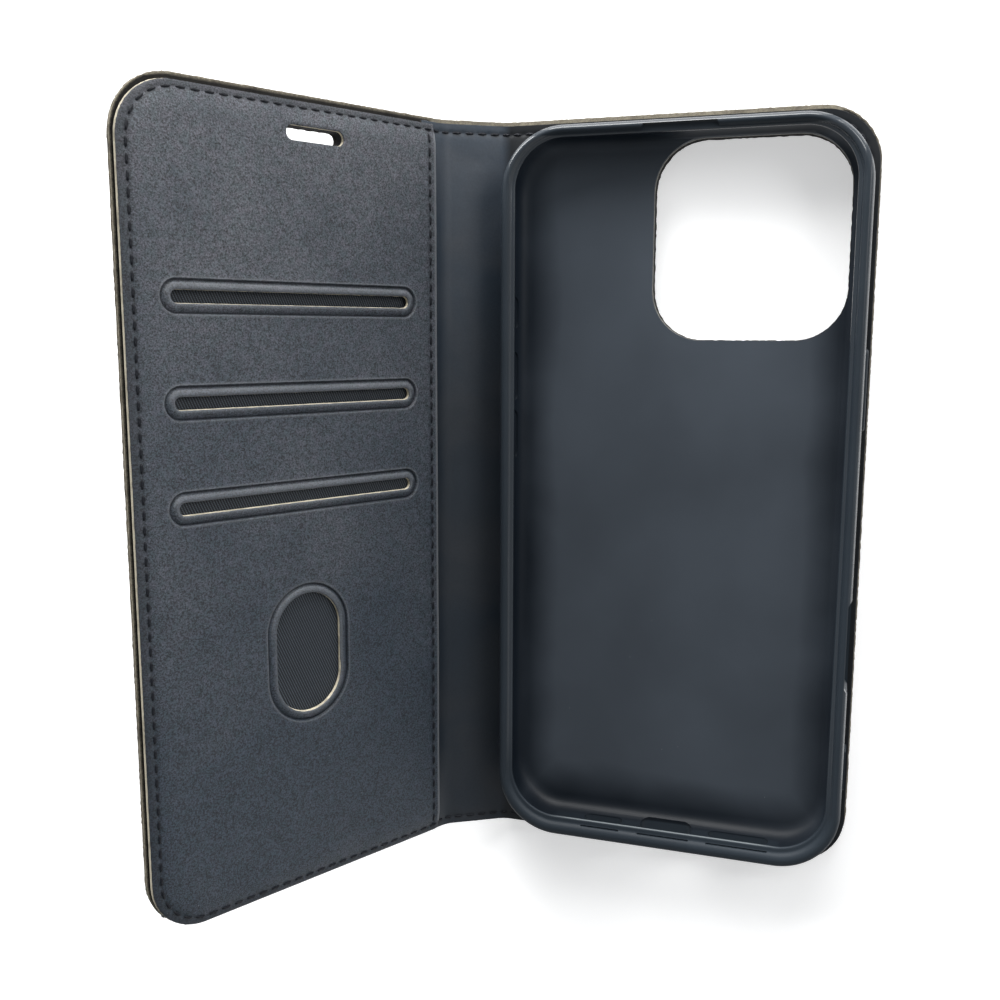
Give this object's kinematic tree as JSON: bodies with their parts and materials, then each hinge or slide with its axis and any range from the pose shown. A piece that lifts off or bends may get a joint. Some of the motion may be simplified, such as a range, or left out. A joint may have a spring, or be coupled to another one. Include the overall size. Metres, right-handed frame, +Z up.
{
  "type": "phone wallet case",
  "caption": "Book-style phone wallet case: moulded phone tray on a leather back, spine, and a front cover with stacked card slots, a finger window and an earpiece slot.",
  "frame": {"origin": "on the underside of the back cover, below the middle of the phone tray", "axes": "+Z up out of the tray, +Y towards the top of the phone, +X away from the spine, with the case lying on its back and its front cover part way open"},
  "size_m": [0.139, 0.1756, 0.0813],
  "materials": {
    "leather": "matte slate grey pull-up leather with a fine grain",
    "lining": "smooth satin",
    "board": "matte board",
    "twill": "fine black twill",
    "tray": "satin moulded",
    "thread": "twisted sewing thread",
    "bond": "adhesive sheet",
    "steel": "plain",
    "magnet": "nickel plated"
  },
  "bodies": {
    "back": {"back_outer_leather": "leather", "back_stiffener_board": "board", "back_keeper_bar_upper": "steel", "back_keeper_bar_lower": "steel", "back_lining": "lining", "back_edge_stitching": "thread", "tray_bond_sheet": "bond", "phone_tray": "tray"},
    "spine": {"spine_outer_leather": "leather", "spine_lining": "lining", "spine_top_stitching": "thread", "spine_bottom_stitching": "thread"},
    "cover": {"cover_outer_leather": "leather", "cover_stiffener_board": "board", "cover_magnet_upper": "magnet", "cover_magnet_lower": "magnet", "hinge_lining_tab": "lining", "pocket_backing_twill": "twill", "pocket_divider_middle": "twill", "pocket_divider_lower": "twill", "card_pocket_panel": "leather", "cover_edge_stitching": "thread", "pocket_seam_stitching": "thread"},
    "power_button": {"power_button_cover": "tray"},
    "action_button": {"action_button_cover": "tray"},
    "volume_up_button": {"volume_up_button_cover": "tray"},
    "volume_down_button": {"volume_down_button_cover": "tray"}
  },
  "joints": [
    {"name": "spine_fold", "type": "hinge", "parent": "back", "child": "spine", "pos_m": [-0.0428, 0, 0.0012], "axis": [0, 1, 0], "range_deg": [-120.5, 59.5]},
    {"name": "cover_fold", "type": "hinge", "parent": "spine", "child": "cover", "pos_m": [-0.05659, 0, 0.00932], "axis": [0, 1, 0], "range_deg": [-120.5, 59.5]},
    {"name": "power_button_press", "type": "slide", "parent": "back", "child": "power_button", "axis": [-1, 0, 0], "range_m": [0, 0.0005], "stiffness_N_per_m": 30},
    {"name": "action_button_press", "type": "slide", "parent": "back", "child": "action_button", "axis": [1, 0, 0], "range_m": [0, 0.0005], "stiffness_N_per_m": 30},
    {"name": "volume_up_press", "type": "slide", "parent": "back", "child": "volume_up_button", "axis": [1, 0, 0], "range_m": [0, 0.0005], "stiffness_N_per_m": 30},
    {"name": "volume_down_press", "type": "slide", "parent": "back", "child": "volume_down_button", "axis": [1, 0, 0], "range_m": [0, 0.0005], "stiffness_N_per_m": 30}
  ],
  "couplings": [
    {"joint": "spine_fold", "follows": "cover_fold", "ratio": 1}
  ]
}
